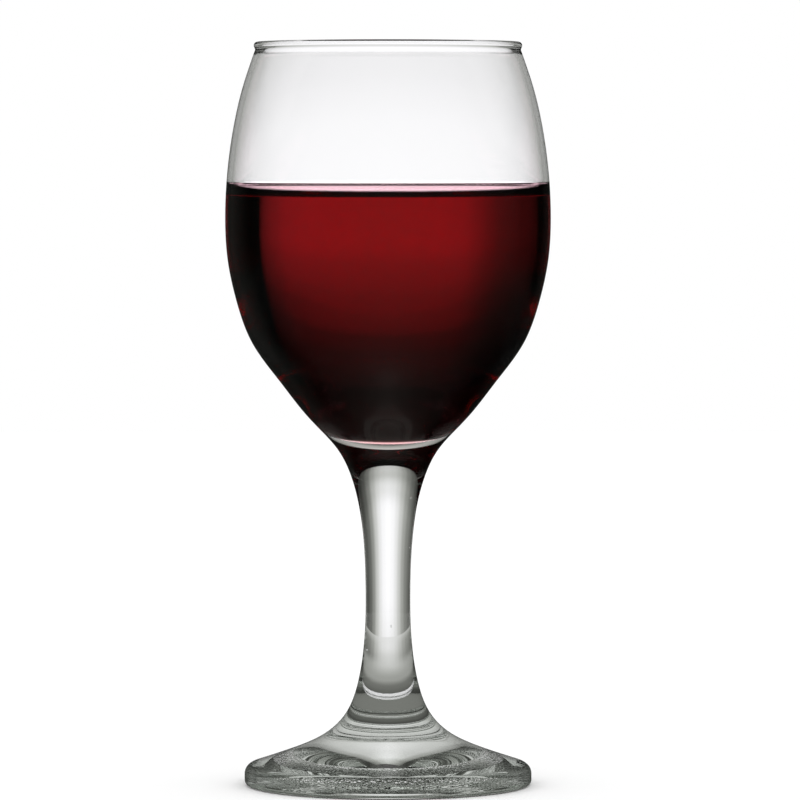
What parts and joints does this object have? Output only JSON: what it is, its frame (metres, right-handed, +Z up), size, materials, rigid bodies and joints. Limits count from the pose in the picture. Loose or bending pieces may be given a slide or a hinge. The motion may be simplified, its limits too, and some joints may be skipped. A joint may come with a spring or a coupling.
{
  "type": "glass of red wine",
  "caption": "Stemmed wine glass with a rounded, slightly closing bowl, a beaded rim, a slim waisted stem and a thick coned foot, filled with red wine.",
  "frame": {"origin": "centre of the foot's underside, on the plane that it stands on", "axes": "+Z up along the stem from the foot to the rim; the glass is round about +Z, so +X and +Y have no front of their own"},
  "size_m": [0.07, 0.07, 0.16],
  "materials": {
    "glass": "clear soda-lime glass with a faint green tint in the thick parts, fire-polished",
    "wine": "deep red wine, clear, level surface with a small meniscus"
  },
  "bodies": {
    "root": {"glass": "glass", "wine": "wine"}
  },
  "joints": []
}
